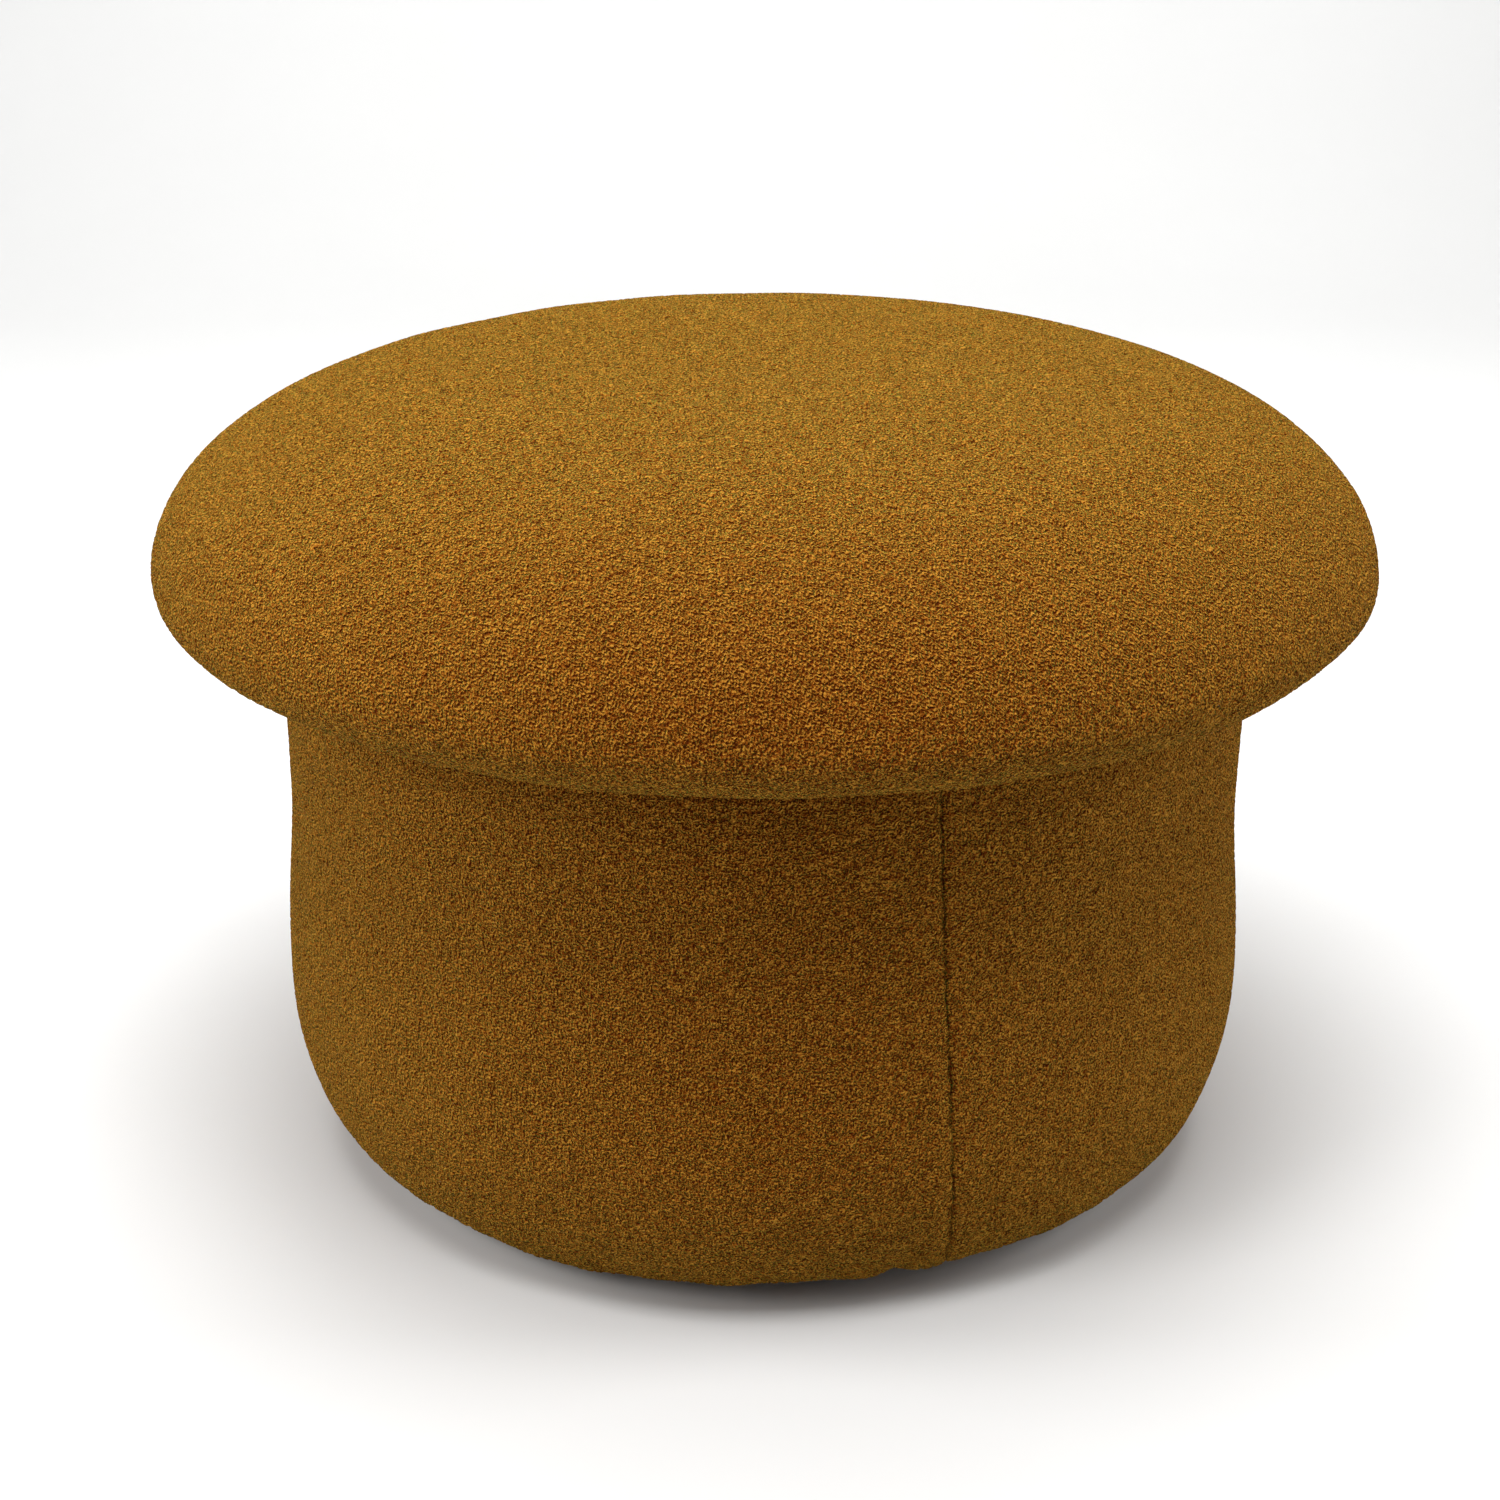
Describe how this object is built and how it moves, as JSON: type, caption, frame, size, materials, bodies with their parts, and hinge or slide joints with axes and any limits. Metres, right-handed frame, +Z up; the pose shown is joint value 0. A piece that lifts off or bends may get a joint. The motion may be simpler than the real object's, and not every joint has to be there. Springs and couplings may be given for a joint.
{
  "type": "storage ottoman",
  "caption": "Round storage ottoman in looped fabric: a padded drum with a hollow inside, under a wide domed cushion lid that overhangs it and lifts off.",
  "frame": {"origin": "on the floor, under the middle of the round body", "axes": "+Z up, the front faces -Y, +X to the right of someone facing it"},
  "size_m": [0.6, 0.6, 0.4],
  "materials": {
    "boucle": "looped, matt mustard brown fabric with small tight curls",
    "wadding": "soft white fibre",
    "foam": "cut upholstery foam, fine open cells",
    "plywood": "raw plywood, sanded",
    "hardboard": "smooth raw hardboard",
    "pine": "planed raw softwood",
    "lining": "dark grey non-woven cloth with a pressed dot pattern",
    "dust_cloth": "grey non-woven cloth with a pressed dot pattern",
    "steel": "zinc plated, slightly dull",
    "black_plastic": "moulded, fine satin texture"
  },
  "bodies": {
    "base": {"top_ring": "plywood", "post_top_screws": "steel", "post_bottom_screws": "steel", "outer_wall": "hardboard", "inner_liner": "hardboard", "floor_panel": "plywood", "plinth_disc": "plywood", "plinth_screws": "steel", "base_foam": "foam", "base_cover_right": "boucle", "base_cover_left": "boucle", "storage_lining": "lining", "floor_lining": "lining", "rim_staples": "steel", "dust_cloth": "dust_cloth", "dust_cloth_staples": "steel", "foot_nails": "steel", "post_1": "pine", "post_2": "pine", "post_3": "pine", "post_4": "pine", "post_5": "pine", "post_6": "pine", "foot_1": "black_plastic", "foot_2": "black_plastic", "foot_3": "black_plastic", "foot_4": "black_plastic"},
    "lid": {"lid_cover": "boucle", "lid_wadding": "wadding", "lid_foam": "foam", "lid_board": "plywood", "lid_lining": "lining", "lid_staples": "steel", "locating_disc": "plywood", "locating_disc_wrap": "lining", "locating_screws": "steel"}
  },
  "joints": [
    {"name": "lid_lift", "type": "slide", "parent": "base", "child": "lid", "axis": [0, 0, 1], "range_m": [0, 0.3]}
  ]
}
